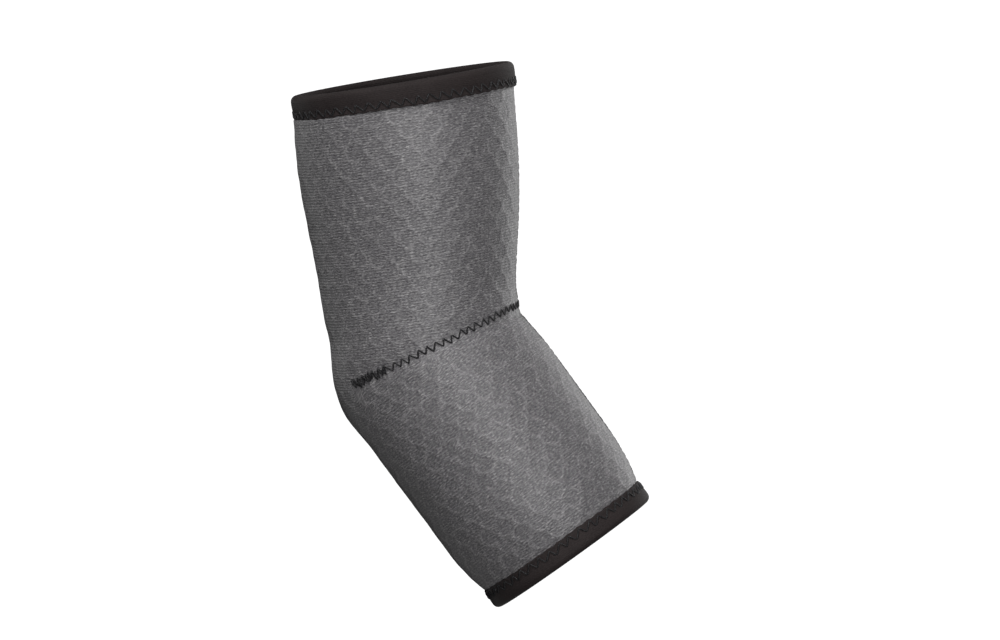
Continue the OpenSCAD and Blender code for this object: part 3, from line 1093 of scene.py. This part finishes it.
def dart_thread(side, inner=False, from_angle=None, density=1.0, lift_more=0.0, shift=0.0,
                unevenness=UNEVENNESS, width=STITCH_WIDTH):
    """The zigzag along a dart, outside or inside. side is -1 for the near dart and 1 for the
    far one. density is the number of stitches against the seam's own, lift_more raises the
    thread, and shift moves it along by a part of one leg."""
    seam_start = side * FRONT_SEAM + DART_START_GAP / ELBOW_RADIUS
    start = seam_start if from_angle is None else from_angle
    turns = 2 * round((DART_END - start) * ELBOW_RADIUS / SEAM_STITCH * density) + 1
    turn, swing, lift = zigzag(turns, unevenness=unevenness)
    angle = side * (start + (DART_END - start) * (turn + shift) / (turns - 1))
    reach = (width / 2 - THREAD_RADIUS) * swing
    line = Meridian(angle)
    share = reach / np.where(reach > 0, line.top - line.dart, line.dart - line.bottom)
    height = thread_height(lift) + lift_more
    return skin(share, angle, -LAMINATE - height if inner else height)


def front_seam_thread(inner=False):
    low = -1 + (FOREARM_BINDING_HEIGHT + HEM_GAP) / FOREARM_LENGTH
    high = 1 - (UPPER_BINDING_HEIGHT + HEM_GAP) / UPPER_LENGTH
    length = (UPPER_LENGTH + FOREARM_LENGTH) / 2 * (high - low)
    turns = 2 * round(length / SEAM_STITCH) + 1
    turn, swing, lift = zigzag(turns)
    share = low + (high - low) * turn / (turns - 1)
    angle = FRONT_SEAM + (STITCH_WIDTH / 2 - THREAD_RADIUS) * swing / ELBOW_RADIUS
    height = thread_height(lift)
    return skin(share, angle, -LAMINATE - height if inner else height)


# ---- The pieces ----

UPPER, FOREARM = "upper_sleeve", "forearm_sleeve"


def across_elbow(piece):
    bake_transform(piece)


def three_zones(layer):
    return [zone + "_" + layer for zone in ("upper", "elbow", "forearm")]


# The foam keeps this far from the faces bonded to it, so that their surfaces don't mix
BOND_GAP = 0.08


def make_sleeve():
    cloth = shell("face_fabric", (0, FACE), 120, 352, FACE_KNIT, inner_every=8, relief=cell_relief)
    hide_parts(*three_zones("face_fabric"))
    across_elbow(cloth)
    foam_depths = (FACE + BOND_GAP, FACE + FOAM - BOND_GAP)
    foam = shell("foam_core", foam_depths, 60, 176, FOAM_RUBBER)
    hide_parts(*three_zones("foam_core"))
    across_elbow(foam)
    lining = shell("lining", (FACE + FOAM, LAMINATE), 72, 224, LINING_KNIT)
    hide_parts(*three_zones("lining"))
    across_elbow(lining)


def make_bindings():
    for opening, body in ((UPPER_OPENING, UPPER), (FOREARM_OPENING, FOREARM)):
        tape = binding(opening)
        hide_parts(opening.name + "_binding")
        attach(tape, body)
        runs = [(hem_thread(opening, inner), True) for inner in (False, True)]
        thread = thread_piece(opening.name + "_binding_thread", runs)
        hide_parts(opening.name + "_binding_thread")
        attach(thread, body)


def backtack_thread(side):
    """The dart's end is sewn over again, forwards and back: denser, wider and less even."""
    start = DART_END - BACKTACK_LENGTH / ELBOW_RADIUS
    return dart_thread(side, from_angle=start, density=2.2, lift_more=0.25, shift=0.4,
                       unevenness=0.35, width=4.3)


def make_seam_threads():
    for side, name in ((-1, "near_dart"), (1, "far_dart")):
        parts = {
            "_needle_thread": dart_thread(side),
            "_bobbin_thread": dart_thread(side, inner=True),
            "_backtack": backtack_thread(side),
        }
        for part, points in parts.items():
            sew(name + part, points, [name + part])
    for part, inner in (("needle_thread", False), ("bobbin_thread", True)):
        layer = "front_seam_" + part
        sew(layer, front_seam_thread(inner), three_zones(layer))


def sew(name, points, nodes):
    thread = thread_piece(name, [(points, False)])
    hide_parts(*nodes)
    across_elbow(thread)


# ---- Camera, floor and light ----

# The picture leans, so that the upper arm's top leans left by this angle
CAMERA_ROLL = math.radians(5.1)
CAMERA_SIDE = math.radians(9)
CAMERA_RISE = math.radians(6)
CAMERA_DISTANCE = 2400
FIELD_WIDTH = 430
# Middle of the picture, from the elbow: right and up
VIEW_CENTRE = (32.6, 12.0)
# Everything up to here is seen, in metres
CLIP_END = 50


def picture_axes():
    """Right, up and away from the camera, before it is moved to the side and up."""
    right = Vector((math.cos(CAMERA_ROLL), 0, -math.sin(CAMERA_ROLL)))
    up = Vector((math.sin(CAMERA_ROLL), 0, math.cos(CAMERA_ROLL)))
    return right, up, Vector((0, 1, 0))


def make_camera():
    right, up, away = picture_axes()
    target = Vector(HINGE) + VIEW_CENTRE[0] * right + VIEW_CENTRE[1] * up
    towards = (
        -away * math.cos(CAMERA_SIDE) * math.cos(CAMERA_RISE)
        + right * math.sin(CAMERA_SIDE) * math.cos(CAMERA_RISE)
        + up * math.sin(CAMERA_RISE)
    )
    camera = bpy.data.objects.new("camera", bpy.data.cameras.new("camera"))
    bpy.context.scene.collection.objects.link(camera)
    camera.data.lens = camera.data.sensor_width * CAMERA_DISTANCE / FIELD_WIDTH
    camera.data.clip_end = CLIP_END
    side = up.cross(towards).normalized()
    above = towards.cross(side).normalized()
    turn = Matrix((side, above, towards)).transposed().to_4x4()
    camera.matrix_world = Matrix.Translation((target + towards * CAMERA_DISTANCE) * MM) @ turn
    bpy.context.scene.camera = camera


def area_light(name, direction, distance, size, power):
    """A soft white light, in metres and watts. direction is (right, towards the camera, up) in
    the picture."""
    right, up, away = picture_axes()
    way = (direction[0] * right - direction[1] * away + direction[2] * up).normalized()
    data = bpy.data.lights.new(name, "AREA")
    data.shape = "RECTANGLE"
    data.size, data.size_y = size
    data.energy = power
    light = bpy.data.objects.new(name, data)
    light.location = Vector(HINGE) * MM + way * distance
    light.rotation_mode = "QUATERNION"
    light.rotation_quaternion = way.to_track_quat("Z", "Y")
    bpy.context.scene.collection.objects.link(light)


def make_lights():
    area_light("key", (0.37, 0.92, 0.03), 1.6, (0.3, 0.3), 13.5)
    area_light("top", (-0.15, 0.4, 0.9), 1.6, (0.3, 0.3), 16.5)
    area_light("rim", (0.6, -0.8, 0.12), 1.6, (1.0, 1.0), 9)
    area_light("fill", (-1.0, -0.6, 0.1), 1.8, (0.6, 0.6), 1.5)


STAGE_RADIUS = 3600
STAGE_CORNER = 1200
STAGE_TOP = 3400
STAGE_DROP = 1500
STAGE_COLUMNS = 96


def make_stage():
    """A pale round floor far below, which curves up into a wall on every side."""
    floor = HINGE[2] - STAGE_DROP
    profile = [(1, floor), (STAGE_RADIUS / 2, floor)]
    for turn in np.linspace(-math.pi / 2, 0, 17):
        out = STAGE_RADIUS - STAGE_CORNER + STAGE_CORNER * math.cos(turn)
        profile.append((out, floor + STAGE_CORNER + STAGE_CORNER * math.sin(turn)))
    profile.append((STAGE_RADIUS, STAGE_TOP))
    profile = np.array(profile)
    angle = angles(STAGE_COLUMNS)
    out = profile[:, :1]
    height = np.broadcast_to(profile[:, 1:], (len(profile), STAGE_COLUMNS))
    points = np.stack([out * np.cos(angle), out * np.sin(angle), height], -1)
    faces = strip_faces(len(profile), STAGE_COLUMNS)
    material, tree, shader = new_material("stage_paper")
    feed(tree, shader, {
        "Base Color": (0.8, 0.8, 0.8, 1),
        "Roughness": 1,
        "Emission Color": (1, 1, 1, 1),
        "Emission Strength": 1,
    })
    stage = mesh_piece("stage_floor", points.reshape(-1, 3), faces, material)
    stage.visible_diffuse = False
    stage.visible_glossy = False
    stage.visible_shadow = False


# The room's own light, besides the lamps
WORLD_LIGHT = 0.05


def make_world():
    world = bpy.data.worlds.new("studio")
    world.use_nodes = True
    background = world.node_tree.nodes["Background"]
    background.inputs["Color"].default_value = (1, 1, 1, 1)
    background.inputs["Strength"].default_value = WORLD_LIGHT
    bpy.context.scene.world = world
    bpy.context.scene.view_settings.view_transform = "Standard"


make_camera()
make_lights()
make_world()
make_stage()
make_sleeve()
make_bindings()
make_seam_threads()
